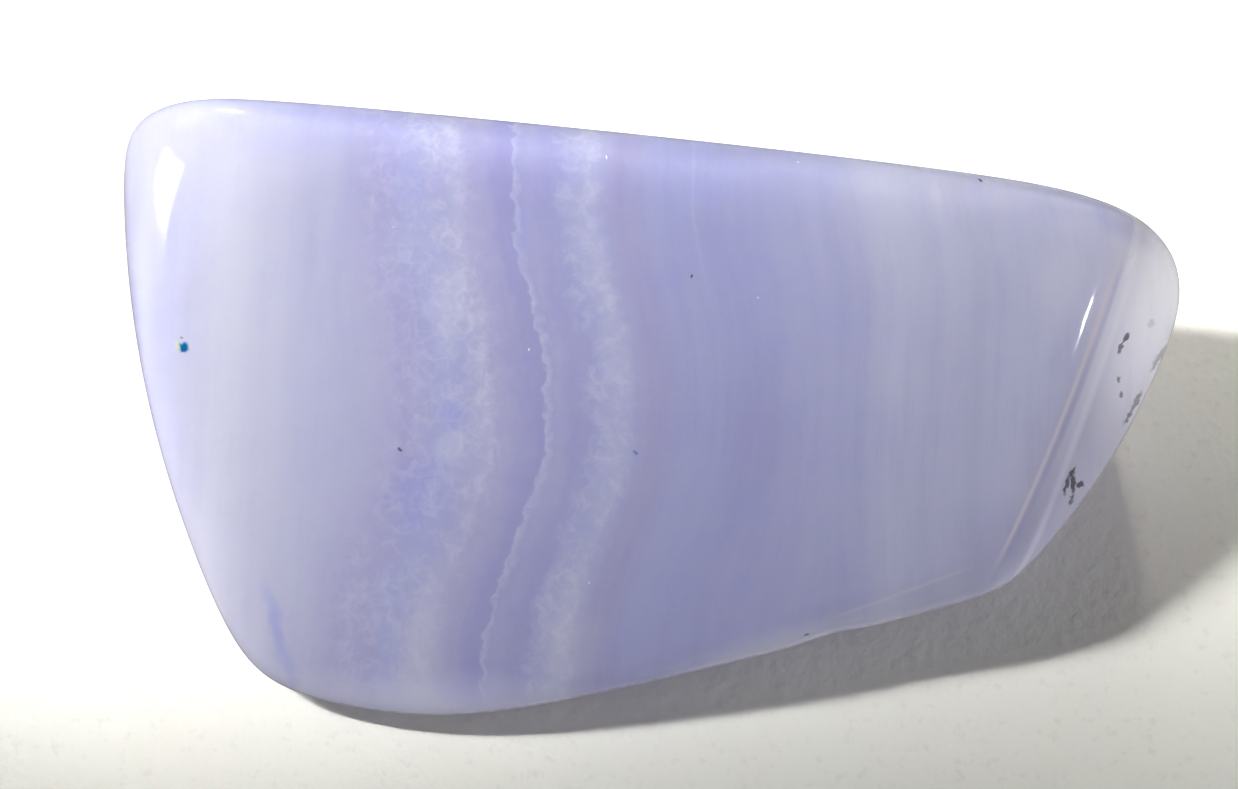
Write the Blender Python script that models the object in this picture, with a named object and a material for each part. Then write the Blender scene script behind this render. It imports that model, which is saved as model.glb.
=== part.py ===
"""Tumbled blue lace agate: one polished pebble, lying on its flat.

A tumbled stone keeps the broken faces it started with, each worn to a slightly crowned flat, and
loses the edges between them. The form here is worked out the same way. Every worn face is a very
large sphere that touches the stone from inside, so the flat is gently crowned, and the solid is
what all of the faces leave between them. Their edges melt into each other by a soft maximum:

    sum over the faces of exp(signed distance to the face / its wear) = 1

Each vertex of a gridded cube is sent out from the middle of the stone until it meets that surface.
Metres, +Z up, +X along the stone, the viewer of the photograph at -Y. The origin lies under the
middle of the stone, on the surface that it rests on.
"""
import bmesh
import bpy
import numpy as np

MM = 0.001

# The middle of the stone, which the worn faces are measured from.
MIDDLE = (-0.03, 0.47, 4.2)
# The stone's eight corners (mm from the middle) before they were worn away. The gridded cube is
# first stretched onto them, so that its edges follow the edges of the stone.
CORNERS = {
    ("left", "front", "bottom"): (-11.5, -7.3, -4.2),
    ("left", "front", "top"): (-11.7, -7.5, -1.4),
    ("left", "back", "bottom"): (-15.5, 6.9, -4.2),
    ("left", "back", "top"): (-15.4, 6.5, 7.7),
    ("right", "front", "bottom"): (11.0, -5.0, -4.2),
    ("right", "front", "top"): (10.8, -5.0, 0.8),
    ("right", "back", "bottom"): (15.5, 4.0, -4.2),
    ("right", "back", "top"): (13.9, 3.5, 6.4),
}
SIDES = (("left", "right"), ("front", "back"), ("bottom", "top"))

# Worn faces of the stone. Each one has the compass direction that it looks in (degrees from +X
# towards +Y), its slope (degrees above the horizon), its distance from the middle, the radius of
# its crown, and the wear that rounds its edges, the last three in millimetres.
WORN_FACES = {
    "base": (0, -90, 4.2, 10000, 0.30),
    "broad_top": (-91.8, 56.8, 3.20, 200, 0.31),
    "ridge": (81.6, 59.0, 8.89, 600, 0.40),
    "back": (84.1, -3.9, 6.20, 600, 0.38),
    "back_low": (87.0, -32.0, 6.50, 200, 0.40),
    "left_end": (183.9, -1.0, 16.07, 80, 0.31),
    "left_brow": (199.2, 26.0, 14.53, 60, 0.41),
    "left_shoulder": (195.1, 62.4, 12.62, 60, 0.53),
    "brow_flat": (242.3, 59.4, 6.64, 300, 0.15),
    "left_low": (198.0, -9.4, 14.43, 60, 0.58),
    "left_foot": (232.1, -19.4, 14.65, 50, 0.70),
    "front": (-94.8, -28.5, 10.12, 80, 0.56),
    "front_right": (-74.9, -21.9, 7.98, 300, 0.39),
    "low_bevel": (-80.2, 34.1, 5.90, 400, 0.15),
    "right_bevel": (-60.2, 41.5, 7.92, 90, 0.18),
    "right_facet": (-40.8, 22.7, 11.05, 90, 0.23),
    "right_foot": (-44.8, -19.9, 11.42, 60, 0.22),
    "right_under": (-23.6, -31.3, 12.67, 60, 0.38),
    "right_end": (9.9, -3.7, 16.61, 40, 0.39),
    "right_back": (62.4, 22.0, 12.80, 60, 0.57),
}

# Squares along each edge of the gridded cube, two triangles to a square.
GRID = 28
# How far the grid's lines are drawn towards the cube's edges, from 0, even, to 1.
CROWDING = 0.55
# A ray from the middle has left the stone by this distance.
OUTSIDE = 24.0
# The search for the surface halves its interval this often.
HALVINGS = 40
# The base is ground truly flat up to this height.
FLAT_BELOW = 0.02

STONE_COLOUR = (0.38, 0.39, 0.63, 1.0)
STONE_ROUGHNESS = 0.12


def clear_scene():
    """Remove every object that the file opened with."""
    for obj in list(bpy.data.objects):
        bpy.data.objects.remove(obj, do_unlink=True)


def stone_collection():
    """Make the collection that holds the stone."""
    collection = bpy.data.collections.new("blue_lace_agate")
    bpy.context.scene.collection.children.link(collection)
    return collection


def polished_agate():
    """Pale blue-violet chalcedony with a tumbled polish."""
    material = bpy.data.materials.new("polished_agate")
    material.use_nodes = True
    shader = material.node_tree.nodes["Principled BSDF"]
    shader.inputs["Base Color"].default_value = STONE_COLOUR
    shader.inputs["Roughness"].default_value = STONE_ROUGHNESS
    shader.inputs["Metallic"].default_value = 0.0
    return material


def outward(compass, slope):
    """Unit vector from a compass direction and a slope, both in degrees."""
    a = np.radians(compass)
    e = np.radians(slope)
    return np.array([np.cos(e) * np.cos(a), np.cos(e) * np.sin(a), np.sin(e)])


def wear_level(points):
    """How far points (mm from the middle) are from the worn surface: below 0 inside, 0 on it."""
    total = np.zeros(len(points))
    for compass, slope, distance, crown, wear in WORN_FACES.values():
        crown_centre = outward(compass, slope) * (distance - crown)
        height = np.linalg.norm(points - crown_centre, axis=1) - crown
        total += np.exp(np.minimum(height / wear, 50.0))
    return total - 1.0


def reach(directions):
    """Distance from the middle to the worn surface along unit directions, by halving."""
    near = np.zeros(len(directions))
    far = np.full(len(directions), OUTSIDE)
    for _ in range(HALVINGS):
        middle = (near + far) / 2
        inside = wear_level(directions * middle[:, None]) < 0.0
        near = np.where(inside, middle, near)
        far = np.where(inside, far, middle)
    return (near + far) / 2


def gridded_cube():
    """A cube whose faces are divided into squares, each turned into two triangles."""
    bm = bmesh.new()
    bmesh.ops.create_cube(bm, size=2.0)
    bmesh.ops.subdivide_edges(bm, edges=bm.edges, cuts=GRID - 1, use_grid_fill=True)
    bmesh.ops.triangulate(bm, faces=bm.faces)
    return bm


def stretched_onto_corners(cube_points):
    """Carry points of the cube onto the unworn block, each weighted by its nearness to a corner."""
    crowded = np.sin(cube_points * np.pi / 2)
    share = 0.5 + 0.5 * ((1 - CROWDING) * cube_points + CROWDING * crowded)
    block = np.zeros_like(cube_points)
    for names, corner in CORNERS.items():
        weight = np.ones(len(cube_points))
        for axis, name in enumerate(names):
            is_far = name == SIDES[axis][1]
            weight *= share[:, axis] if is_far else 1 - share[:, axis]
        block += weight[:, None] * np.array(corner)
    return block


def make_pebble(collection, material):
    """The stone: the gridded cube blown up onto the worn surface, with its base ground flat."""
    bm = gridded_cube()
    block = stretched_onto_corners(np.array([vertex.co[:] for vertex in bm.verts]))
    directions = block / np.linalg.norm(block, axis=1)[:, None]
    points = directions * reach(directions)[:, None] + MIDDLE
    points[points[:, 2] < FLAT_BELOW, 2] = 0.0
    for vertex, point in zip(bm.verts, points * MM):
        vertex.co = point
    bmesh.ops.recalc_face_normals(bm, faces=bm.faces)
    mesh = bpy.data.meshes.new("agate_pebble")
    bm.to_mesh(mesh)
    bm.free()
    mesh.shade_smooth()
    mesh.materials.append(material)
    pebble = bpy.data.objects.new("agate_pebble", mesh)
    collection.objects.link(pebble)
    return pebble


def main():
    """Build the stone."""
    clear_scene()
    make_pebble(stone_collection(), polished_agate())


main()
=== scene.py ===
"""Looks of a tumbled blue lace agate: a polished pebble on white paper in soft light from the left.

The stone is one piece. Its form is the same worn block as in the CAD model, worked out again on a
finer grid, and its colour is a solid pattern: the bands of the agate run through the whole pebble,
so they come out on its sides, its back and its base as they do on a real one. Painted highlights,
glows and shade are laid over it as well, mostly on the side towards the viewer. Sizes are in
millimetres, measured from the middle of the stone, until a mesh or a lamp is made.
"""

import logging
from dataclasses import dataclass, field
from enum import Enum
from typing import Optional, Union

import bpy
import numpy as np
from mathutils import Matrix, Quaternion, Vector


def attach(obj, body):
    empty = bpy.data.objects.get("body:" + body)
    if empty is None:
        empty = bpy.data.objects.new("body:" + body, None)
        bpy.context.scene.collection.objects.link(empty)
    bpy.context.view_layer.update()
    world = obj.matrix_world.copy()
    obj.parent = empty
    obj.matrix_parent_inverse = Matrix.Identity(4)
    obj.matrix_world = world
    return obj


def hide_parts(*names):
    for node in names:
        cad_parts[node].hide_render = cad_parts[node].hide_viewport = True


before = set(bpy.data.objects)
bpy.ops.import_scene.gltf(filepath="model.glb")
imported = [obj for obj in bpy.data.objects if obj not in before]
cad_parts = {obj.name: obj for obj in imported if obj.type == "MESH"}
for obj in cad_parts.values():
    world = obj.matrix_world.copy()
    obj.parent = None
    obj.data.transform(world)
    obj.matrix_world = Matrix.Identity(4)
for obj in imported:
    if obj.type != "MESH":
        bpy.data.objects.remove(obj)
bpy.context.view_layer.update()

log = logging.getLogger("blue_lace_agate")

MM = 0.001
# The point in the stone, above the origin of the model, that everything is measured from.
MIDDLE = (-0.03, 0.47, 4.2)
# The photograph looks down at the broad face at this slope (degrees above the horizon).
VIEW_SLOPE = 70.0
# The photograph's own directions: along the stone, up across it, and out towards the viewer.
ALONG = (1.0, 0.0, 0.0)
UP_ACROSS = (0.0, float(np.sin(np.radians(VIEW_SLOPE))), float(np.cos(np.radians(VIEW_SLOPE))))
OUTWARD = (0.0, -float(np.cos(np.radians(VIEW_SLOPE))), float(np.sin(np.radians(VIEW_SLOPE))))
AXES = (ALONG, UP_ACROSS, OUTWARD)

Colour = tuple[float, float, float, float]
Triple = tuple[float, float, float]
Step = tuple[float, float]

BLACK = (0.0, 0.0, 0.0, 1.0)


class Tint(Enum):
    """The colours that the chalcedony of this stone takes, roughly from the deepest to the palest; the
    rose and the frost are the colours of painted highlights and glows.
    """

    POOL = (0.315, 0.330, 0.640, 1.0)
    PERIWINKLE = (0.372, 0.384, 0.615, 1.0)
    VIOLET = (0.338, 0.337, 0.573, 1.0)
    MAUVE = (0.375, 0.365, 0.573, 1.0)
    LAVENDER = (0.432, 0.436, 0.602, 1.0)
    HAZE = (0.487, 0.488, 0.622, 1.0)
    MIST = (0.450, 0.455, 0.625, 1.0)
    ASH = (0.610, 0.602, 0.720, 1.0)
    PEARL = (0.545, 0.540, 0.655, 1.0)
    MILK = (0.590, 0.595, 0.710, 1.0)
    # Colour of the painted highlights along the worn ridges.
    ROSE_HIGHLIGHT = (0.680, 0.620, 0.690, 1.0)
    # Colour of painted glows, reflections and highlights.
    FROST_GLOW = (0.880, 0.880, 1.000, 1.0)


class Speck(Enum):
    """What the small marks on the stone are made of."""

    OXIDE = (0.035, 0.028, 0.055, 1.0)
    OLIVE = (0.110, 0.105, 0.070, 1.0)
    TEAL = (0.000, 0.120, 0.300, 1.0)
    YELLOW = (0.520, 0.600, 0.330, 1.0)
    CHIP = (0.920, 0.920, 0.960, 1.0)


@dataclass(frozen=True)
class Noise:
    """A fractal noise: lumps to a millimetre, finer layers, their strength, a twist and a height."""

    per_mm: float
    detail: float = 0.0
    roughness: float = 0.5
    twist: float = 0.0
    height: float = 1.0


@dataclass(frozen=True)
class Stretch:
    """A stretch of a scale, and the width of each of its smooth shoulders, centred on its ends."""

    start: float
    end: float
    soft: float


@dataclass(frozen=True)
class Spot:
    """An oval, by its place along and up from the stone's middle, half-axes and lean in degrees."""

    along: float
    up: float
    half_width: float
    half_height: float
    lean: float

    def rows(self) -> np.ndarray:
        """The matrix that turns a place (along, up, out) into shares of the oval's half-axes."""
        turn = np.radians(self.lean)
        wide = np.array((np.cos(turn), np.sin(turn), 0.0)) / self.half_width
        high = np.array((-np.sin(turn), np.cos(turn), 0.0)) / self.half_height
        return np.array((wide, high))

    def middle(self) -> np.ndarray:
        """The oval's middle in the same shares."""
        return self.rows() @ np.array((self.along, self.up, 0.0))


@dataclass(frozen=True)
class Field:
    """A value that varies through a piece, read from a node's socket; +, - and * add Math nodes."""

    board: "Board"
    socket: bpy.types.NodeSocket

    def __add__(self, other: "Signal") -> "Field":
        """The sum, as a Math node."""
        return self.board.math("ADD", self, other)

    def __sub__(self, other: "Signal") -> "Field":
        """The difference, as a Math node."""
        return self.board.math("SUBTRACT", self, other)

    def __mul__(self, other: "Signal") -> "Field":
        """The product, as a Math node."""
        return self.board.math("MULTIPLY", self, other)


Signal = Union[Field, float]
Inputs = dict[Union[int, str], object]


@dataclass
class Board:
    """A material's node tree, with a method for each kind of node that the finishes use."""

    material: bpy.types.Material

    @property
    def shader(self) -> bpy.types.Node:
        """The material's Principled shader."""
        return self.material.node_tree.nodes["Principled BSDF"]

    def feed(self, node: bpy.types.Node, inputs: Inputs) -> None:
        """Connect or set a node's inputs.

        Args:
            node: the node.
            inputs: what goes into each input, by name or number: a Field, a number or a tuple.
        """
        for key, value in inputs.items():
            if isinstance(value, Field):
                self.material.node_tree.links.new(value.socket, node.inputs[key])
            else:
                node.inputs[key].default_value = value

    def put(self, kind: str, inputs: Inputs, **settings: object) -> bpy.types.Node:
        """Add a node and connect or set its inputs.

        Args:
            kind: Blender's name of the node's type.
            inputs: what goes into each input, as feed takes it.
            settings: the node's own properties.

        Returns:
            The new node.
        """
        node = self.material.node_tree.nodes.new(kind)
        for name, value in settings.items():
            setattr(node, name, value)
        self.feed(node, inputs)
        return node

    def math(self, operation: str, first: Signal, second: Signal) -> Field:
        """The result of one Math node, by Blender's name of the operation and the two values."""
        node = self.put("ShaderNodeMath", {0: first, 1: second}, operation=operation)
        return Field(self, node.outputs[0])

    def vector(self, operation: str, first: object, second: object) -> Field:
        """The result of one Vector Math node: a number for a dot product or a distance, else a vector."""
        node = self.put("ShaderNodeVectorMath", {0: first, 1: second}, operation=operation)
        gives_number = operation in ("DOT_PRODUCT", "DISTANCE")
        return Field(self, node.outputs["Value" if gives_number else "Vector"])

    def in_mm(self) -> Field:
        """The place on the piece, from the model's origin, in millimetres."""
        coordinates = Field(self, self.put("ShaderNodeTexCoord", {}).outputs["Object"])
        return self.vector("MULTIPLY", coordinates, (1 / MM, 1 / MM, 1 / MM))

    def rise(self, value: Signal, start: float, end: float, top: float = 1.0) -> Field:
        """0 before start and top past end, with a smooth step between, which falls where end < start.

        Args:
            value: where along the step each point is.
            start: the value at which the step begins.
            end: the value at which it is complete.
            top: how high it rises.

        Returns:
            The step, from 0 to top.
        """
        inputs = {"Value": value, "From Min": start, "From Max": end, "To Max": top}
        node = self.put("ShaderNodeMapRange", inputs, interpolation_type="SMOOTHSTEP")
        return Field(self, node.outputs[0])

    def within(self, value: Signal, stretch: Stretch) -> Field:
        """1 between a stretch's ends, with smooth shoulders, and 0 beyond."""
        half = stretch.soft / 2
        opening = self.rise(value, stretch.start - half, stretch.start + half)
        closing = self.rise(value, stretch.end + half, stretch.end - half)
        return opening * closing

    def noise(self, point: Field, kind: Noise) -> bpy.types.Node:
        """One Noise node at a place in millimetres: it gives a number and a vector, both round 0.5."""
        inputs = {
            "Vector": point,
            "Scale": kind.per_mm,
            "Detail": kind.detail,
            "Roughness": kind.roughness,
            "Distortion": kind.twist,
        }
        return self.put("ShaderNodeTexNoise", inputs, noise_dimensions="3D")

    def cloud(self, point: Field, kind: Noise) -> Field:
        """Fractal noise round 0, about 0.3 times its height to either side."""
        centred = Field(self, self.noise(point, kind).outputs[0]) - 0.5
        return centred if kind.height == 1.0 else centred * kind.height

    def stirred(self, point: Field, kind: Noise, reach: float) -> Field:
        """Points pushed about by noise, each axis on its own.

        Args:
            point: the place, in millimetres.
            kind: the noise.
            reach: how far a point moves at most, in millimetres.

        Returns:
            The moved points.
        """
        noise = Field(self, self.noise(point, kind).outputs[1])
        centred = self.vector("SUBTRACT", noise, (0.5, 0.5, 0.5))
        return self.vector("ADD", point, self.vector("MULTIPLY", centred, (2 * reach,) * 3))

    def cells(self, point: Field, per_mm: float, feature: str = "F1") -> Field:
        """A cell pattern: distance to the nearest of many scattered seeds, or to the cells' borders.

        Args:
            point: the place, in millimetres.
            per_mm: how many seeds lie along a millimetre.
            feature: Blender's name of the distance that is meant.

        Returns:
            The distance, in seed spacings.
        """
        node = self.put("ShaderNodeTexVoronoi", {"Vector": point, "Scale": per_mm}, feature=feature)
        return Field(self, node.outputs["Distance"])

    def joined(self, first: Signal, second: Signal, third: Signal = 0.0) -> Field:
        """A vector of three values."""
        return Field(self, self.put("ShaderNodeCombineXYZ", {0: first, 1: second, 2: third}).outputs[0])

    def attribute(self, name: str, output: str = "Fac") -> Field:
        """A number, or by its Vector output a vector, that is stored on the mesh, point by point."""
        return Field(self, self.put("ShaderNodeAttribute", {}, attribute_name=name).outputs[output])

    def oval(self, place: Field, spot: Spot) -> Field:
        """How far each place is from an oval's middle, as a share of its half-axes.

        Each axis takes one dot product. A Mapping node would work its rotation out at every point.

        Args:
            place: the place, along and up.
            spot: the oval.

        Returns:
            The distance: 0 in the middle and 1 on the oval's line.
        """
        on_axes = self.joined(*(self.vector("DOT_PRODUCT", place, row) for row in spot.rows().tolist()))
        return self.vector("DISTANCE", on_axes, (*spot.middle().tolist(), 0.0))

    def mix(self, under: object, over: object, amount: Signal) -> Field:
        """One colour laid over another.

        Args:
            under: the colour below.
            over: the colour laid on it.
            amount: how much of it, from 0 to 1.

        Returns:
            The mixed colour.
        """
        # The node's inputs 6 and 7 and its output 2 are the colours.
        inputs = {0: amount, 6: under, 7: over}
        node = self.put("ShaderNodeMix", inputs, data_type="RGBA", clamp_factor=True)
        return Field(self, node.outputs[2])

    def ramp(self, value: Signal, stops: list[tuple[float, Colour]]) -> Field:
        """Colours along a scale, eased from each to the next.

        Args:
            value: the place on the scale, from 0 to 1.
            stops: each colour's place and colour, in order.

        Returns:
            The colour.
        """
        node = self.put("ShaderNodeValToRGB", {0: value})
        elements = node.color_ramp.elements
        node.color_ramp.interpolation = "EASE"
        elements[0].position, elements[0].color = stops[0]
        elements[1].position, elements[1].color = stops[-1]
        for place, colour in stops[1:-1]:
            elements.new(place).color = colour
        return Field(self, node.outputs[0])

    def bump(self, height: Field, strength: float, depth: float) -> Field:
        """The surface's direction, tilted by a relief whose height of 1 is depth millimetres."""
        inputs = {"Height": height, "Strength": strength, "Distance": depth * MM}
        return Field(self, self.put("ShaderNodeBump", inputs).outputs[0])


def smooth_step(value: np.ndarray, start: float, end: float) -> np.ndarray:
    """0 before start and 1 past end, with a smooth step between, which falls where end < start."""
    share = np.clip((value - start) / (end - start), 0.0, 1.0)
    return share * share * (3.0 - 2.0 * share)


def new_material(name: str) -> bpy.types.Material:
    """Start a material with a node tree."""
    material = bpy.data.materials.new(name)
    material.use_nodes = True
    return material


@dataclass(frozen=True)
class LaceString:
    """A crinkled pale line in the lace, crisp on one side and fading away on the other.

    It fades to the right where fade is above 0, and else to the left. Below the height above there is
    no string.
    """

    place: float
    fade: float
    strength: float
    crisp: float
    above: Optional[float] = None


@dataclass(frozen=True)
class Mark(Spot):
    """A small mark on the face that the viewer sees; one is a painted highlight."""

    stuff: Speck
    strength: float = 1.0


@dataclass(frozen=True)
class DriftOrPaintedLight(Spot):
    """A soft oval drift of another tint in the stone, or an oval of painted light or shade."""

    tint: Tint
    strength: float


# Bands from the left end to the right: the place (mm) along the upper edge, and how milky it is there.
BANDS = {
    "end haze": (-14.5, 0.00),
    "end haze, inner side": (-12.5, 0.10),
    "before the faint line": (-10.7, 0.08),
    "first faint line": (-10.2, 0.00),
    "first pale band": (-9.6, 0.12),
    "pink hollow": (-8.6, 0.08),
    "lace cloud": (-7.2, 0.08),
    "lace cloud, crisp side": (-5.9, 0.20),
    "mauve behind the cloud": (-5.0, 0.10),
    "deep band": (-4.4, 0.03),
    "deep band, right side": (-4.0, 0.00),
    "string band": (-3.5, 0.14),
    "before the second lace": (-2.7, 0.05),
    "second lace": (-1.9, 0.24),
    "behind the second lace": (-0.9, 0.05),
    "smooth heart": (0.8, 0.04),
    "heart's shade": (2.2, 0.04),
    "soft shelf": (4.3, 0.17),
    "shelf's shade": (5.2, 0.10),
    "pale curtain": (6.3, 0.30),
    "behind the curtain": (7.4, 0.03),
    "green-grey streak": (8.1, 0.06),
    "pink-grey line": (8.9, 0.00),
    "last pale band": (9.8, 0.12),
    "end shade": (10.8, 0.10),
    "right end": (14.0, 0.10),
}

# Tints along the same scale, which the milk lies over.
TINTS = (
    (-15.7, Tint.HAZE), (-15.1, Tint.LAVENDER), (-14.3, Tint.LAVENDER), (-13.3, Tint.HAZE),
    (-12.2, Tint.PEARL), (-10.8, Tint.HAZE), (-9.4, Tint.LAVENDER), (-8.0, Tint.MAUVE),
    (-7.0, Tint.PERIWINKLE), (-5.2, Tint.MAUVE), (-4.3, Tint.VIOLET), (-3.6, Tint.VIOLET),
    (-1.7, Tint.PERIWINKLE), (-0.8, Tint.MAUVE), (0.3, Tint.PERIWINKLE), (3.8, Tint.PERIWINKLE),
    (8.0, Tint.MIST), (8.40, Tint.MIST), (8.80, Tint.LAVENDER), (9.25, Tint.MIST),
    (11.6, Tint.MIST), (15.0, Tint.ASH),
)

LACE_STRINGS = {
    "cloud's crisp edge": LaceString(-5.6, -0.7, 0.16, 0.10),
    "long crinkled string": LaceString(-4.02, 0.30, 0.30, 0.035),
    "string's glow": LaceString(-4.05, 1.0, 0.12, 0.06),
    "second lace, right edge": LaceString(-1.5, -0.6, 0.13, 0.18),
    "second lace, left edge": LaceString(-2.6, 0.45, 0.09, 0.14),
    "faint string in the heart": LaceString(1.3, 0.13, 0.13, 0.04, 4.2),
}

# Soft drifts of another tint, measured along and up from the middle like the marks. The broad ones
# are worked out at the points of the mesh, and the fine ones in the finish, where noise stirs them.
# Some broad ones are painted light and shade: painted shade at the upper left, along the upper edge
# and under the right corner, a painted glow in the pale right corner and on the left rim, and
# painted reflections along the lower rim.
BROAD_DRIFTS_AND_PAINTED_LIGHT = {
    "pale bank at the foot": DriftOrPaintedLight(-6.9, -6.9, 0.65, 2.0, -8.0, Tint.MILK, 0.35),
    "shade in the heart": DriftOrPaintedLight(3.3, -0.9, 1.2, 2.6, -10.0, Tint.VIOLET, 0.55),
    "lower shade": DriftOrPaintedLight(3.0, -4.8, 2.2, 1.8, 0.0, Tint.VIOLET, 0.25),
    # Paler stone with a painted glow of light through the thin right corner.
    "pale corner with painted glow": DriftOrPaintedLight(15.2, 3.2, 1.8, 3.6, -18.0, Tint.FROST_GLOW, 0.90),
    # Painted shade along the top edge under the right corner.
    "painted shade under the corner": DriftOrPaintedLight(13.6, 5.65, 1.7, 0.40, -29.0, Tint.PERIWINKLE, 0.50),
    # Painted shade over the upper left shoulder.
    "painted shade, upper left": DriftOrPaintedLight(-11.0, 9.8, 5.8, 2.0, -2.0, Tint.PERIWINKLE, 0.85),
    "pale lower left": DriftOrPaintedLight(-11.6, -4.6, 2.8, 5.0, 18.0, Tint.MILK, 0.15),
    # Painted reflection along the lower rim.
    "painted reflection, lower rim": DriftOrPaintedLight(-6.5, -9.7, 7.5, 1.6, -3.0, Tint.FROST_GLOW, 0.42),
    # Painted reflection along the lower right rim.
    "painted reflection, lower right rim": DriftOrPaintedLight(4.2, -7.3, 4.2, 0.8, 16.0, Tint.MILK, 0.70),
    # Painted glow along the left rim.
    "painted glow, left rim": DriftOrPaintedLight(-15.1, -1.8, 0.40, 4.6, 14.0, Tint.FROST_GLOW, 0.30),
    # Painted shade along the upper edge above the lace cloud.
    "painted shade above the cloud": DriftOrPaintedLight(-8.2, 8.8, 2.4, 0.55, -4.0, Tint.VIOLET, 0.70),
    "upper right end": DriftOrPaintedLight(12.2, 4.2, 0.9, 1.9, -15.0, Tint.MILK, 0.50),
    "lower right shade": DriftOrPaintedLight(10.4, -3.9, 1.6, 1.2, 20.0, Tint.VIOLET, 0.25),
    "upper right": DriftOrPaintedLight(8.0, 5.6, 3.6, 2.6, -6.0, Tint.MILK, 0.35),
    "foot of the second lace": DriftOrPaintedLight(-2.4, -7.2, 1.1, 1.4, -15.0, Tint.HAZE, 0.40),
}
FINE_DRIFTS = {
    "blue pool": DriftOrPaintedLight(-6.9, -2.5, 0.85, 1.35, -12.0, Tint.POOL, 0.60),
    "small pool above": DriftOrPaintedLight(-5.9, -0.2, 0.35, 0.60, 0.0, Tint.POOL, 0.70),
    "pool beside the string": DriftOrPaintedLight(-3.75, 5.3, 0.25, 0.70, 0.0, Tint.POOL, 0.50),
    "blue streak at the foot": DriftOrPaintedLight(-11.15, -6.8, 0.24, 1.75, 15.0, Tint.POOL, 0.55),
    "mauve band at the foot": DriftOrPaintedLight(-8.6, -7.2, 0.35, 1.6, 6.0, Tint.MAUVE, 0.60),
    "pale bank in the cloud": DriftOrPaintedLight(-6.0, -1.2, 0.55, 0.50, 20.0, Tint.MILK, 0.30),
    "upper pale bank": DriftOrPaintedLight(-6.0, 2.9, 0.45, 1.3, 8.0, Tint.MILK, 0.30),
    "green-grey streak": DriftOrPaintedLight(8.42, 6.4, 0.14, 0.75, 3.0, Tint.MILK, 0.40),
}

MARKS = {
    "teal dot": Mark(-13.88, 1.87, 0.18, 0.16, 0.0, Speck.TEAL),
    "teal dot's yellow fringe": Mark(-14.06, 1.92, 0.07, 0.16, 20.0, Speck.YELLOW, 0.8),
    "grey tick": Mark(-13.95, 2.17, 0.05, 0.03, 0.0, Speck.OLIVE, 0.6),
    "ring": Mark(1.21, 3.95, 0.05, 0.06, 0.0, Speck.OXIDE, 0.8),
    "dot in the lace": Mark(-7.47, -1.16, 0.05, 0.05, 0.0, Speck.OXIDE, 0.7),
    "dot in the heart": Mark(-0.45, -1.25, 0.06, 0.05, 0.0, Speck.TEAL, 0.55),
    "dot on the lower edge": Mark(4.71, -6.75, 0.09, 0.05, 30.0, Speck.OXIDE, 0.8),
    "dot on the upper edge": Mark(9.73, 6.78, 0.05, 0.04, 0.0, Speck.OXIDE, 0.7),
    "chip by the upper edge": Mark(-1.32, 7.46, 0.026, 0.046, -20.0, Speck.CHIP),
    "chip by the string": Mark(-3.61, 1.81, 0.026, 0.046, -10.0, Speck.CHIP),
    "chip low down": Mark(-1.85, -5.14, 0.026, 0.039, 0.0, Speck.CHIP, 0.8),
    "chip in the heart": Mark(3.16, 3.33, 0.026, 0.026, 0.0, Speck.CHIP, 0.7),
    "chip on the ridge": Mark(4.35, 7.30, 0.046, 0.019, -15.0, Speck.CHIP, 0.8),
    "pink chip": Mark(-7.55, 5.37, 0.023, 0.026, 0.0, Speck.CHIP, 0.6),
    "fern, top spur": Mark(12.62, -1.84, 0.07, 0.20, -18.0, Speck.OXIDE),
    "fern, left spur": Mark(12.46, -2.25, 0.055, 0.30, -16.0, Speck.OXIDE, 0.85),
    "fern, trunk": Mark(12.67, -2.20, 0.085, 0.33, 4.0, Speck.OXIDE),
    "fern, foot": Mark(12.66, -2.68, 0.06, 0.18, -20.0, Speck.OXIDE, 0.85),
    "fern, branch": Mark(12.91, -2.23, 0.15, 0.075, 28.0, Speck.OXIDE, 0.95),
    "dash": Mark(14.15, 2.16, 0.065, 0.19, -38.0, Speck.OXIDE, 0.8),
    "dash's tail": Mark(14.00, 1.86, 0.06, 0.22, -18.0, Speck.OXIDE, 0.7),
    "dot below the dash": Mark(14.00, 0.92, 0.07, 0.10, 0.0, Speck.OXIDE, 0.6),
    "second dot below": Mark(14.10, 0.48, 0.07, 0.11, 0.0, Speck.OXIDE, 0.6),
    "smudge": Mark(15.00, 2.60, 0.12, 0.16, -20.0, Speck.OLIVE, 0.2),
    # A painted highlight at the head of the ridge.
    "painted highlight at the head of the ridge": Mark(14.20, 4.30, 0.10, 0.42, -24.0, Speck.CHIP, 0.25),
    "rim streak, upper part": Mark(15.36, 1.56, 0.095, 0.50, -33.0, Speck.OLIVE, 0.45),
    "rim streak, lower part": Mark(14.68, 0.28, 0.095, 0.34, -30.0, Speck.OLIVE, 0.60),
    "rim streak, foot": Mark(14.43, -0.20, 0.06, 0.28, -30.0, Speck.OXIDE, 0.65),
}


@dataclass
class StoneBoard(Board):
    """The board of the stone's material, with each point and how far along, up and out it lies."""

    point: Field = field(init=False)
    along: Field = field(init=False)
    up: Field = field(init=False)
    out: Field = field(init=False)

    def __post_init__(self) -> None:
        """Measure each point from the middle of the stone, along the photograph's own directions."""
        self.point = self.vector("SUBTRACT", self.in_mm(), MIDDLE)
        self.along, self.up, self.out = (self.vector("DOT_PRODUCT", self.point, axis) for axis in AXES)


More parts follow.
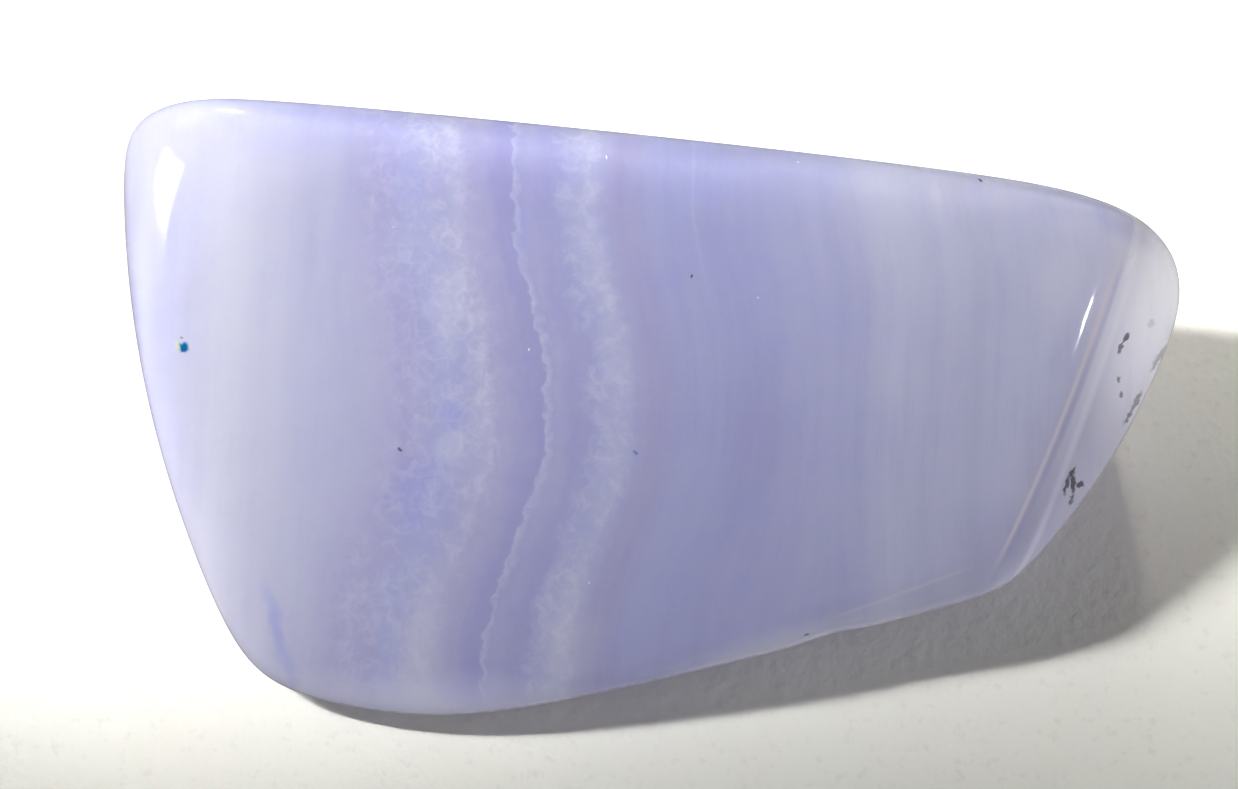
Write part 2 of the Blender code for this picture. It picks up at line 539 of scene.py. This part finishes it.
@dataclass(frozen=True)
class BandedAgate:
    """The finish of the stone: translucent chalcedony, banded and laced, under a tumbled polish.

    Lengths are in millimetres. A Step is a pair: where a smooth step begins and where it is complete.
    A share says how strongly a pattern counts.
    """

    # The scale that the bands are placed on, and how it swings with the height.
    scale_start: float = -17.0
    scale_end: float = 17.0
    low_swing: float = -1.0
    middle_foot: Step = (-7.5, -0.8)
    middle_swing: float = 1.85
    middle_top: Step = (0.8, 6.2)
    high_swing: float = -0.93
    right_top: Step = (8.5, 3.0)
    right_bow: float = 0.85
    left_height: float = 8.5
    left_lean: float = 0.08
    left_to_middle: Step = (-10.5, -7.0)
    middle_to_right: Step = (1.0, 7.0)

    # What warps the scale everywhere, and what crinkles it, mostly where there is lace.
    warp: Noise = Noise(0.14, 1.0, height=0.5)
    lacy: Stretch = Stretch(-8.4, -1.2, 1.8)
    calm_share: float = 0.22
    crinkles: Noise = Noise(0.8, 3.0, 0.6, height=0.60)
    teeth: Noise = Noise(3.4, 2.0, height=0.26)
    scallops_per_mm: float = 2.1
    scallop_reach: float = 0.26
    scallop_middle: float = 0.11

    # The strings, and in two zones of lace the billows, the foam of loops and the chain of rings.
    string_foot: Step = (-1.2, 0.8)
    wisps: Noise = Noise(1.9, 4.0, 0.70, twist=0.5)
    wisp_share: float = 2.6
    cloud_zone: Stretch = Stretch(-8.4, -5.35, 1.0)
    second_zone: Stretch = Stretch(-2.75, -1.3, 0.6)
    billow_crest: Step = (-0.04, 0.14)
    billow_share: float = 0.22
    stir: Noise = Noise(1.6, 1.0)
    stir_reach: float = 0.28
    foam_per_mm: float = 2.0
    foam_line: Step = (0.17, 0.02)
    foam_patches: Noise = Noise(0.8, 1.0)
    foam_patch: Step = (-0.10, 0.10)
    foam_share: float = 0.13
    rings_per_mm: float = 1.35
    ring: Stretch = Stretch(0.34, 0.44, 0.12)
    ring_zone: Stretch = Stretch(-6.9, -5.5, 0.5)
    ring_foot: Step = (-1.0, 1.5)
    ring_share: float = 0.20

    # Streaks along the bands, a mottle and a grain.
    streaks: Noise = Noise(2.6, 3.0, 0.65)
    streak_slip: float = 0.07
    streak_share: float = 0.20
    right_streaks: Step = (3.5, 7.0)
    right_streak_share: float = 0.14
    mottle: Noise = Noise(0.5, 2.0, 0.6, height=0.14)
    grain: Noise = Noise(5.0, 1.0, 0.6, height=0.05)
    violet_share: float = -2.0

    # The soft edges of drifts, painted light and shade among them, and of marks, in half-axes, and how far
    # out towards the viewer they begin.
    drift_and_light_edge: Step = (1.4, 0.2)
    drift_and_light_side: Step = (-1.5, 0.0)
    mark_edge: Step = (1.25, 0.6)
    mark_side: Step = (-0.6, -0.2)
    ragged: Noise = Noise(7.0, height=0.12)

    # The painted highlights, glow and shade along the worn ridges, by the gap between two worn faces.
    right_end: Step = (9.6, 10.8)
    below_corner: Step = (4.7, 3.7)
    ridge: Stretch = Stretch(0.035, 0.095, 0.05)
    ridge_foot: Step = (-5.4, -3.6)
    ridge_highlight_share: float = 0.70
    groove_shade: Stretch = Stretch(-0.06, 0.01, 0.05)
    groove_shade_share: float = 0.22
    bevel: Stretch = Stretch(-0.10, 0.0, 0.09)
    bevel_highlight_share: float = 0.28
    strip_left: Step = (-0.03, -0.12)
    strip_right: Step = (-0.10, 0.02)
    strip_foot: Step = (-4.0, 1.0)
    strip_glow_share: float = 0.30
    low_ridge: Stretch = Stretch(0.02, 0.06, 0.04)
    low_ridge_reach: Stretch = Stretch(5.6, 9.4, 1.2)
    low_ridge_highlight_share: float = 0.35

    # The polish, and the light that goes into the stone.
    relief: Noise = Noise(1.4)
    relief_strength: float = 0.03
    relief_depth: float = 0.2
    roughness: float = 0.075
    glass_index: float = 1.54
    depth_weight: float = 1.0
    depth_scale: float = 2.4
    depth_radius: Triple = (1.0, 1.0, 0.95)

    def on_scale(self, place: float) -> float:
        """A place along the stone (mm) as a share of the ramps' length."""
        return (place - self.scale_start) / (self.scale_end - self.scale_start)

    def bow(self, at: StoneBoard) -> Field:
        """How far the bands swing to the right at each height.

        In the middle they come in from the left at the foot, bulge out to the right, and fall back
        towards the upper edge. On the right they lean over at the top only, and on the left they
        lean the other way.

        Args:
            at: the stone's board.

        Returns:
            The swing, in millimetres.
        """
        bulge = at.rise(at.up, *self.middle_foot) * self.middle_swing
        middle = bulge + at.rise(at.up, *self.middle_top) * self.high_swing + self.low_swing
        right = at.rise(at.up, *self.right_top) * self.right_bow
        left = (at.up - self.left_height) * self.left_lean
        inner = left + (middle - left) * at.rise(at.along, *self.left_to_middle)
        return inner + (right - inner) * at.rise(at.along, *self.middle_to_right)

    def band_scale(self, at: StoneBoard) -> Field:
        """The place on the scale of bands: along the stone, less the bow, crinkled where there is lace.

        Args:
            at: the stone's board.

        Returns:
            The place on the scale, in millimetres.
        """
        straight = at.along - self.bow(at) + at.cloud(at.point, self.warp)
        busy = at.within(straight, self.lacy) * (1.0 - self.calm_share) + self.calm_share
        crinkles = at.cloud(at.point, self.crinkles)
        teeth = at.cloud(at.point, self.teeth)
        scallops = at.cells(at.point, self.scallops_per_mm) * self.scallop_reach
        return straight + (crinkles + teeth + scallops - self.scallop_middle) * busy

    def strings(self, at: StoneBoard, scale: Field) -> Field:
        """The crinkled strings: a smooth step on the crisp side times a smooth fade on the other side.

        Args:
            at: the stone's board.
            scale: the place on the scale of bands.

        Returns:
            The amount of string, from 0 to about 0.4.
        """
        total = None
        for string in LACE_STRINGS.values():
            side = 1.0 if string.fade > 0.0 else -1.0
            gap = (scale - string.place) * side
            crisp = at.rise(gap, -string.crisp, string.crisp)
            amount = crisp * at.rise(gap, abs(string.fade), 0.0, string.strength)
            if string.above is not None:
                start, end = self.string_foot
                amount = amount * at.rise(at.up, string.above + start, string.above + end)
            total = amount if total is None else total + amount
        return total

    def lace(self, at: StoneBoard, scale: Field, stirred: Field) -> Field:
        """How much pale lace there is: crinkled strings, billows, and foams of small loops.

        The loops are the thin borders between the cells of a stirred cell pattern, in patches, and
        near the cloud's crisp edge a chain of rings at one distance from the cells' seeds. The
        billows are the crests of a fractal noise.

        Args:
            at: the stone's board.
            scale: the place on the scale of bands.
            stirred: the place in the stone, pushed about by noise.

        Returns:
            The amount of lace, from 0 to about 0.5.
        """
        strings = self.strings(at, scale)
        zone = at.within(scale, self.cloud_zone) + at.within(scale, self.second_zone)
        wisps = at.cloud(at.point, self.wisps)
        patches = at.rise(at.cloud(at.point, self.foam_patches), *self.foam_patch)
        borders = at.cells(stirred, self.foam_per_mm, "DISTANCE_TO_EDGE")
        foam = at.rise(borders, *self.foam_line) * patches
        chain = at.within(scale, self.ring_zone) * at.rise(at.up, *self.ring_foot)
        rings = at.within(at.cells(stirred, self.rings_per_mm), self.ring) * chain
        billows = at.rise(wisps, *self.billow_crest)
        threads = billows * self.billow_share + foam * self.foam_share + rings * self.ring_share
        return strings * (wisps * self.wisp_share + 1.0) + zone * threads

    def drifting_colour(self, at: StoneBoard, colour: Field, stirred: Field) -> Field:
        """Lay the drifts over a colour: the broad ones, painted light and shade among them, by the mesh's
        attributes, and then the fine ones.

        Args:
            at: the stone's board.
            colour: the colour so far.
            stirred: the place in the stone, pushed about by noise.

        Returns:
            The colour with the drifts.
        """
        uncovered = at.mix(colour, BLACK, at.attribute("veil"))
        colour = at.vector("ADD", uncovered, at.attribute("veil_tint", "Vector"))
        flat = at.joined(*(at.vector("DOT_PRODUCT", stirred, axis) for axis in AXES[:2]))
        drifting = colour
        for drift in FINE_DRIFTS.values():
            amount = at.rise(at.oval(flat, drift), *self.drift_and_light_edge, drift.strength)
            drifting = at.mix(drifting, drift.tint.value, amount)
        return at.mix(colour, drifting, at.rise(at.out, *self.drift_and_light_side))

    def banded_colour(self, at: StoneBoard) -> Field:
        """The stone's colour without its ridges and marks.

        The scale of bands picks a tint and how milky it is. Lace, fine streaks along the bands and
        a soft mottle are added to the milk; where they fall below nothing, the stone turns violet.

        Args:
            at: the stone's board.

        Returns:
            The colour.
        """
        scale = self.band_scale(at)
        on_ramp = (scale - self.scale_start) * (1.0 / (self.scale_end - self.scale_start))
        colour = at.ramp(on_ramp, [(self.on_scale(place), tint.value) for place, tint in TINTS])
        milk_stops = [(self.on_scale(place), (milk,) * 3 + (1.0,)) for place, milk in BANDS.values()]
        milk = at.ramp(on_ramp, milk_stops)
        milky = Field(at, at.put("ShaderNodeSeparateColor", {0: milk}).outputs[0])

        stirred = at.stirred(at.point, self.stir, self.stir_reach)
        colour = self.drifting_colour(at, colour, stirred)

        banded = at.joined(scale, at.up * self.streak_slip, at.out * self.streak_slip)
        streaks = at.cloud(banded, self.streaks)
        mottle = at.cloud(at.point, self.mottle)
        grain = at.cloud(at.point, self.grain)
        more = at.rise(at.along, *self.right_streaks) * self.right_streak_share
        extra = streaks * (more + self.streak_share) + mottle + grain
        amount = milky + self.lace(at, scale, stirred) + extra
        colour = at.mix(colour, Tint.MILK.value, amount)
        return at.mix(colour, Tint.VIOLET.value, extra * self.violet_share)

    def ridge_light_and_shade(self, at: StoneBoard, colour: Field) -> Field:
        """Lay painted highlights, a painted glow and painted shade that follow the worn ridges of the
        right end and the low bevel over the stone's colour.

        Each line lies where the gap between two worn faces, which the mesh stores, is nearly nothing.

        Args:
            at: the stone's board.
            colour: the colour so far.

        Returns:
            The colour with the lines.
        """
        right = at.rise(at.along, *self.right_end)
        below_corner = at.rise(at.up, *self.below_corner)
        ridge = at.attribute("ridge_gap")
        # Painted highlight along the right ridge.
        line = at.within(ridge, self.ridge) * at.rise(at.up, *self.ridge_foot) * right * below_corner
        colour = at.mix(colour, Tint.ROSE_HIGHLIGHT.value, line * self.ridge_highlight_share)
        # Painted shade in a groove beside the right ridge.
        groove_shade = at.within(ridge, self.groove_shade) * right * below_corner
        colour = at.mix(colour, Tint.VIOLET.value, groove_shade * self.groove_shade_share)
        # A painted highlight along the bevel, and a painted glow on the strip between the bevel and the
        # ridge.
        bevel = at.attribute("bevel_gap")
        bevel_highlight = at.within(bevel, self.bevel) * right * below_corner
        colour = at.mix(colour, Tint.FROST_GLOW.value, bevel_highlight * self.bevel_highlight_share)
        between = at.rise(ridge, *self.strip_left) * at.rise(bevel, *self.strip_right)
        strip_glow = between * at.rise(at.up, *self.strip_foot)
        colour = at.mix(colour, Tint.FROST_GLOW.value, strip_glow * right * self.strip_glow_share)
        # A painted highlight along the low bevel.
        low = at.attribute("low_gap")
        low_highlight = at.within(low, self.low_ridge) * at.within(at.along, self.low_ridge_reach)
        return at.mix(colour, Tint.ROSE_HIGHLIGHT.value, low_highlight * self.low_ridge_highlight_share)

    def mark(self, at: StoneBoard, colour: Field) -> Field:
        """Lay the small marks, and a painted highlight at the head of the ridge, over the stone's colour,
        on the side towards the viewer only.

        Args:
            at: the stone's board.
            colour: the colour so far.

        Returns:
            The colour with the marks.
        """
        ragged = at.cloud(at.point, self.ragged)
        flat = at.joined(at.along + ragged, at.up - ragged)
        marked = colour
        for mark in MARKS.values():
            amount = at.rise(at.oval(flat, mark), *self.mark_edge, mark.strength)
            marked = at.mix(marked, mark.stuff.value, amount)
        return at.mix(colour, marked, at.rise(at.out, *self.mark_side))

    def veil(self, points: np.ndarray) -> tuple[np.ndarray, np.ndarray]:
        """The broad drifts, painted light and shade among them, at points of the surface, laid over each
        other on the side of the viewer.

        Args:
            points: places in millimetres from the middle.

        Returns:
            How much of the stone's colour they cover at each point, and the tint that they add.
        """
        places = points @ np.array(AXES).T
        layer = np.zeros((len(points), 4))
        for drift in BROAD_DRIFTS_AND_PAINTED_LIGHT.values():
            shares = places @ drift.rows().T - drift.middle()
            amount = smooth_step(np.linalg.norm(shares, axis=1), *self.drift_and_light_edge) * drift.strength
            layer += (np.array(drift.tint.value) - layer) * amount[:, None]
        layer *= smooth_step(places[:, 2], *self.drift_and_light_side)[:, None]
        return layer[:, 3], layer[:, :3]

    def dress(self) -> bpy.types.Material:
        """Make the material.

        Returns:
            The material, which reads Object coordinates and five attributes of the pebble's mesh.
        """
        at = StoneBoard(new_material("polished_agate"))
        colour = self.ridge_light_and_shade(at, self.banded_colour(at))
        relief = at.cloud(at.point, self.relief)
        inputs = {
            "Base Color": self.mark(at, colour),
            "Normal": at.bump(relief, self.relief_strength, self.relief_depth),
            "Roughness": self.roughness,
            "IOR": self.glass_index,
            "Subsurface Weight": self.depth_weight,
            "Subsurface Scale": self.depth_scale * MM,
            "Subsurface Radius": self.depth_radius,
        }
        at.feed(at.shader, inputs)
        return at.material


@dataclass(frozen=True)
class SmoothPaper:
    """The finish of the sheet that the stone lies on: white paper with a fine grain."""

    white: Colour = (0.90, 0.89, 0.825, 1.0)
    darker: float = 0.93
    grain: Noise = Noise(2.4, 2.0, 0.6)
    grain_step: Step = (0.05, 0.25)
    relief_strength: float = 0.35
    relief_depth: float = 0.1
    roughness: float = 0.85

    def dress(self) -> bpy.types.Material:
        """Make the material.

        Returns:
            The material, with a grain of fine noise in its colour and its relief.
        """
        paper = Board(new_material("smooth_paper"))
        grain = paper.cloud(paper.in_mm(), self.grain)
        shade = tuple(channel * self.darker for channel in self.white[:3]) + (1.0,)
        inputs = {
            "Base Color": paper.mix(self.white, shade, paper.rise(grain, *self.grain_step)),
            "Normal": paper.bump(grain, self.relief_strength, self.relief_depth),
            "Roughness": self.roughness,
        }
        paper.feed(paper.shader, inputs)
        return paper.material


@dataclass(frozen=True)
class WornFace:
    """One face of the broken stone, worn to a slightly crowned flat: a very large sphere."""

    compass: float
    slope: float
    distance: float
    crown: float
    wear: float

    def direction(self) -> np.ndarray:
        """Unit vector that the face looks along, from its compass direction and slope in degrees."""
        a, e = np.radians(self.compass), np.radians(self.slope)
        return np.array([np.cos(e) * np.cos(a), np.cos(e) * np.sin(a), np.sin(e)])

    def height(self, points: np.ndarray) -> np.ndarray:
        """Distance of points outside the face: how far they are from the sphere's centre, less its radius.

        Args:
            points: places in millimetres from the middle, one to a row.

        Returns:
            The distance of each point, below 0 inside.
        """
        centre = self.direction() * (self.distance - self.crown)
        return np.linalg.norm(points - centre, axis=1) - self.crown


# The stone's eight corners (mm from the middle) before they were worn away.
CORNERS = {
    ("left", "front", "bottom"): (-11.5, -7.3, -4.2),
    ("left", "front", "top"): (-11.7, -7.5, -1.4),
    ("left", "back", "bottom"): (-15.5, 6.9, -4.2),
    ("left", "back", "top"): (-15.4, 6.5, 7.7),
    ("right", "front", "bottom"): (11.0, -5.0, -4.2),
    ("right", "front", "top"): (10.8, -5.0, 0.8),
    ("right", "back", "bottom"): (15.5, 4.0, -4.2),
    ("right", "back", "top"): (13.9, 3.5, 6.4),
}
SIDES = (("left", "right"), ("front", "back"), ("bottom", "top"))

# Each worn face's compass, slope, distance, crown and wear.
WORN_NUMBERS = {
    "base": (0, -90, 4.2, 10000, 0.30),
    "broad_top": (-91.8, 56.8, 3.20, 200, 0.31),
    "ridge": (81.6, 59.0, 8.89, 600, 0.40),
    "back": (84.1, -3.9, 6.20, 600, 0.38),
    "back_low": (87.0, -32.0, 6.50, 200, 0.40),
    "left_end": (183.9, -1.0, 16.07, 80, 0.31),
    "left_brow": (199.2, 26.0, 14.53, 60, 0.41),
    "left_shoulder": (195.1, 62.4, 12.62, 60, 0.53),
    "brow_flat": (242.3, 59.4, 6.64, 300, 0.15),
    "left_low": (198.0, -9.4, 14.43, 60, 0.58),
    "left_foot": (232.1, -19.4, 14.65, 50, 0.70),
    "front": (-94.8, -28.5, 10.12, 80, 0.56),
    "front_right": (-74.9, -21.9, 7.98, 300, 0.39),
    "low_bevel": (-80.2, 34.1, 5.90, 400, 0.15),
    "right_bevel": (-60.2, 41.5, 7.92, 90, 0.18),
    "right_facet": (-40.8, 22.7, 11.05, 90, 0.23),
    "right_foot": (-44.8, -19.9, 11.42, 60, 0.22),
    "right_under": (-23.6, -31.3, 12.67, 60, 0.38),
    "right_end": (9.9, -3.7, 16.61, 40, 0.39),
    "right_back": (62.4, 22.0, 12.80, 60, 0.57),
}
WORN_FACES = {name: WornFace(*numbers) for name, numbers in WORN_NUMBERS.items()}


@dataclass
class Pebble:
    """The stone: a gridded cube blown up onto the worn surface, with its base ground flat.

    With crowding 0 the cube's grid is even, and with 1 it is densest towards the edges. A ray from the
    middle has left the stone by the distance outside.
    """

    cells: int = 120
    crowding: float = 0.55
    outside: float = 24.0
    halvings: int = 34
    steepest: float = 50.0
    flat_below: float = 0.02
    dent_along: float = 5.5
    dent_up: float = -6.9
    dent_half_width: float = 0.9
    dent_half_height: float = 1.0
    dent_depth: float = 0.11
    finish: BandedAgate = field(default_factory=BandedAgate)

    def cube(self) -> tuple[np.ndarray, np.ndarray]:
        """A cube whose six sides are grids of two parameters, welded along its edges.

        On each side one coordinate is fixed at 0 or at the last cell, and the other two are the
        parameters. Points that two sides share are merged by their whole-number coordinates.

        Returns:
            The points, from -1 to 1, and the squares as rows of four point numbers, facing outwards.
        """
        steps = np.arange(self.cells + 1)
        first, second = np.meshgrid(steps, steps, indexing="ij")
        index = np.arange(first.size).reshape(first.shape)
        square = np.stack([index[:-1, :-1], index[1:, :-1], index[1:, 1:], index[:-1, 1:]], axis=-1)
        square = square.reshape(-1, 4)
        lattice, squares = [], []
        for axis in range(3):
            for far in (False, True):
                side = np.zeros(first.shape + (3,), dtype=int)
                side[..., axis] = self.cells * far
                side[..., (axis + 1) % 3] = first
                side[..., (axis + 2) % 3] = second
                turned = square if far else square[:, ::-1]
                squares.append(turned + first.size * len(lattice))
                lattice.append(side.reshape(-1, 3))
        welded, back = np.unique(np.concatenate(lattice), axis=0, return_inverse=True)
        return welded * (2.0 / self.cells) - 1.0, back.reshape(-1)[np.concatenate(squares)]

    def onto_corners(self, cube_points: np.ndarray) -> np.ndarray:
        """Carry points of the cube onto the unworn block: corners weighted by nearness along each axis.

        Args:
            cube_points: points from -1 to 1.

        Returns:
            The points on the block, in millimetres from the middle.
        """
        crowded = np.sin(cube_points * np.pi / 2)
        share = 0.5 + 0.5 * ((1 - self.crowding) * cube_points + self.crowding * crowded)
        block = np.zeros_like(cube_points)
        for names, corner in CORNERS.items():
            weight = np.ones(len(cube_points))
            for axis, name in enumerate(names):
                weight *= share[:, axis] if name == SIDES[axis][1] else 1 - share[:, axis]
            block += weight[:, None] * np.array(corner)
        return block

    def wear_level(self, points: np.ndarray) -> np.ndarray:
        """Sum over the worn faces of exp(height / wear), less 1: below 0 inside the stone, 0 on it.

        Args:
            points: places in millimetres from the middle.

        Returns:
            The level at each point.
        """
        total = np.zeros(len(points))
        for face in WORN_FACES.values():
            total += np.exp(np.minimum(face.height(points) / face.wear, self.steepest))
        return total - 1.0

    def reach(self, directions: np.ndarray) -> np.ndarray:
        """How far the worn surface is along each direction, by halving the interval it lies in.

        Args:
            directions: unit vectors from the middle.

        Returns:
            The distance along each, in millimetres.
        """
        near = np.zeros(len(directions))
        far = np.full(len(directions), self.outside)
        for _ in range(self.halvings):
            middle = (near + far) / 2
            inside = self.wear_level(directions * middle[:, None]) < 0.0
            near, far = np.where(inside, middle, near), np.where(inside, far, middle)
        return (near + far) / 2

    def dent(self, points: np.ndarray) -> np.ndarray:
        """The small hollow in the lower edge: a push up across the stone that fades as a bell curve.

        Args:
            points: places in millimetres from the middle.

        Returns:
            How far each point is pushed.
        """
        along = (points @ np.array(ALONG) - self.dent_along) / self.dent_half_width
        up = (points @ np.array(UP_ACROSS) - self.dent_up) / self.dent_half_height
        push = self.dent_depth * np.exp(-(along ** 2) - up ** 2)
        return push[:, None] * np.array(UP_ACROSS)

    def build(self) -> bpy.types.Object:
        """Work out the stone's surface, make its mesh and dress it.

        Returns:
            The pebble.
        """
        cube_points, squares = self.cube()
        block = self.onto_corners(cube_points)
        directions = block / np.linalg.norm(block, axis=1)[:, None]
        from_middle = directions * self.reach(directions)[:, None]
        from_middle += self.dent(from_middle)
        points = from_middle + MIDDLE
        points[points[:, 2] < self.flat_below, 2] = 0.0

        mesh = bpy.data.meshes.new("lace_agate")
        mesh.from_pydata((points * MM).tolist(), [], squares.tolist())
        mesh.shade_smooth()
        heights = {name: face.height(from_middle) for name, face in WORN_FACES.items()}
        self.write_attribute(mesh, "ridge_gap", heights["broad_top"] - heights["right_bevel"])
        self.write_attribute(mesh, "bevel_gap", heights["right_bevel"] - heights["right_facet"])
        self.write_attribute(mesh, "low_gap", heights["broad_top"] - heights["low_bevel"])
        # The broad drifts, painted light and shade among them, go onto the mesh as a veil.
        cover, tint = self.finish.veil(from_middle)
        self.write_attribute(mesh, "veil", cover)
        self.write_attribute(mesh, "veil_tint", tint)
        mesh.materials.append(self.finish.dress())
        pebble = bpy.data.objects.new("lace_agate", mesh)
        bpy.context.scene.collection.objects.link(pebble)
        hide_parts("agate_pebble")
        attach(pebble, "root")
        log.info("lace_agate: %d points, %d squares", len(points), len(squares))
        return pebble

    @staticmethod
    def write_attribute(mesh: bpy.types.Mesh, name: str, values: np.ndarray) -> None:
        """Store one number or one vector per point on a mesh.

        Args:
            mesh: the mesh.
            name: the attribute's name.
            values: the number at each point, or the vector as a row of three.
        """
        kind, slot = ("FLOAT", "value") if values.ndim == 1 else ("FLOAT_VECTOR", "vector")
        attribute = mesh.attributes.new(name, kind, "POINT")
        attribute.data.foreach_set(slot, values.astype(np.float32).ravel())


@dataclass(frozen=True)
class Lamp:
    """A soft rectangular lamp, by where it stands as seen from the stone.

    One that glints is seen in the polish only, and any other lights the colours only.
    """

    name: str
    direction: Triple
    distance: float
    width: float
    height: float
    power: float
    colour: Triple = (1.0, 1.0, 1.0)
    aim: Triple = (0.0, 0.0, 0.0)
    spread: float = 180.0
    roll: float = 0.0
    glints: bool = False

    def build(self) -> bpy.types.Object:
        """Place the lamp and turn it to its aim.

        Returns:
            The lamp.
        """
        data = bpy.data.lights.new(self.name, "AREA")
        data.shape = "RECTANGLE"
        data.size = self.width * MM
        data.size_y = self.height * MM
        data.energy = self.power
        data.color = self.colour
        data.spread = float(np.radians(self.spread))
        lamp = bpy.data.objects.new(self.name, data)
        towards = Vector(self.direction).normalized()
        stand = (Vector(MIDDLE) + towards * self.distance) * MM
        target = (Vector(MIDDLE) + Vector(self.aim)) * MM
        lamp.location = stand
        facing = (stand - target).to_track_quat("Z", "Y")
        lamp.rotation_euler = (facing @ Quaternion((0.0, 0.0, 1.0), np.radians(self.roll))).to_euler()
        lamp.visible_diffuse = lamp.visible_transmission = not self.glints
        lamp.visible_glossy = self.glints
        lamp.visible_camera = False
        bpy.context.scene.collection.objects.link(lamp)
        return lamp


@dataclass
class Studio:
    """The floor, the light and the camera."""

    floor_half: float = 1500.0
    sky_colour: Colour = (0.096, 0.094, 0.094, 1.0)
    sky_strength: float = 1.0
    lens: float = 153.7
    camera_distance: float = 160.0
    camera_near: float = 1.0
    frame_right: float = -0.94
    frame_up: float = 0.47
    lamps: tuple[Lamp, ...] = (
        Lamp(
            "window", (-0.693, 0.141, 0.707), 200.0, 10.0, 45.0, 0.0215,
            aim=(-4.5, 23.0, 0.0), spread=23.1,
        ),
        Lamp(
            "window_left", (-0.693, 0.141, 0.707), 200.0, 10.0, 45.0, 0.0030,
            aim=(-38.2, 2.2, 0.0), spread=8.9,
        ),
        Lamp("back_sky", (0.22, 0.92, 0.33), 90.0, 40.0, 25.0, 0.008),
        Lamp(
            "back_light", (0.23, 0.92, 0.32), 90.0, 12.0, 5.0, 0.00026, (1.0, 0.97, 0.88),
            aim=(17.8, 8.5, -4.2), spread=8.0,
        ),
        Lamp("rim_light", (0.90, 0.30, 0.32), 90.0, 5.0, 5.0, 0.000025, aim=(15.6, 3.2, 2.2), spread=5.0),
        Lamp("card", (0.94, -0.25, 0.085), 200.0, 80.0, 28.0, 0.16, (1.0, 0.97, 0.91)),
        Lamp("front", (0.05, -0.97, 0.22), 200.0, 120.0, 40.0, 0.068, (0.91, 0.92, 1.0)),
        Lamp("brow_glint", (-0.895, -0.105, 0.434), 164.5, 30.0, 105.0, 0.15, glints=True, roll=-46.0),
        Lamp("ridge_glint", (0.523, -0.644, 0.558), 157.9, 4.0, 1.5, 0.006, glints=True, roll=-45.0),
        Lamp("edge_glint", (-0.309, 0.739, 0.599), 162.7, 16.0, 44.0, 0.035, glints=True),
    )

    def build_floor(self) -> bpy.types.Object:
        """The sheet under the stone: a plane at the height that the stone rests on.

        Returns:
            The floor.
        """
        half = self.floor_half * MM
        corners = [(-half, -half, 0.0), (half, -half, 0.0), (half, half, 0.0), (-half, half, 0.0)]
        mesh = bpy.data.meshes.new("paper_floor")
        mesh.from_pydata(corners, [], [(0, 1, 2, 3)])
        mesh.materials.append(SmoothPaper().dress())
        floor = bpy.data.objects.new("paper_floor", mesh)
        bpy.context.scene.collection.objects.link(floor)
        return floor

    def build_light(self) -> None:
        """The even light of the room, and the lamps."""
        world = bpy.data.worlds.new("studio")
        world.use_nodes = True
        background = world.node_tree.nodes["Background"]
        background.inputs[0].default_value = self.sky_colour
        background.inputs[1].default_value = self.sky_strength
        bpy.context.scene.world = world
        for lamp in self.lamps:
            lamp.build()

    def build_camera(self) -> None:
        """The camera, at the photograph's slope, aimed a little beside the stone's middle."""
        data = bpy.data.cameras.new("camera")
        data.lens = self.lens
        data.clip_start = self.camera_near * MM
        camera = bpy.data.objects.new("camera", data)
        aside = Vector(ALONG) * self.frame_right + Vector(UP_ACROSS) * self.frame_up
        target = (Vector(MIDDLE) + aside) * MM
        camera.location = target + Vector(OUTWARD) * self.camera_distance * MM
        camera.rotation_euler = Vector(OUTWARD).to_track_quat("Z", "Y").to_euler()
        bpy.context.scene.collection.objects.link(camera)
        bpy.context.scene.camera = camera

    def build(self) -> None:
        """Build the floor, the light and the camera."""
        self.build_floor()
        self.build_light()
        self.build_camera()
        bpy.context.scene.view_settings.view_transform = "Standard"
        log.info("studio: %d lamps", len(self.lamps))


def main() -> None:
    """Build the stone and the studio."""
    logging.basicConfig(level=logging.INFO, format="%(name)s: %(message)s")
    Pebble().build()
    Studio().build()


if __name__ == "__main__":
    main()
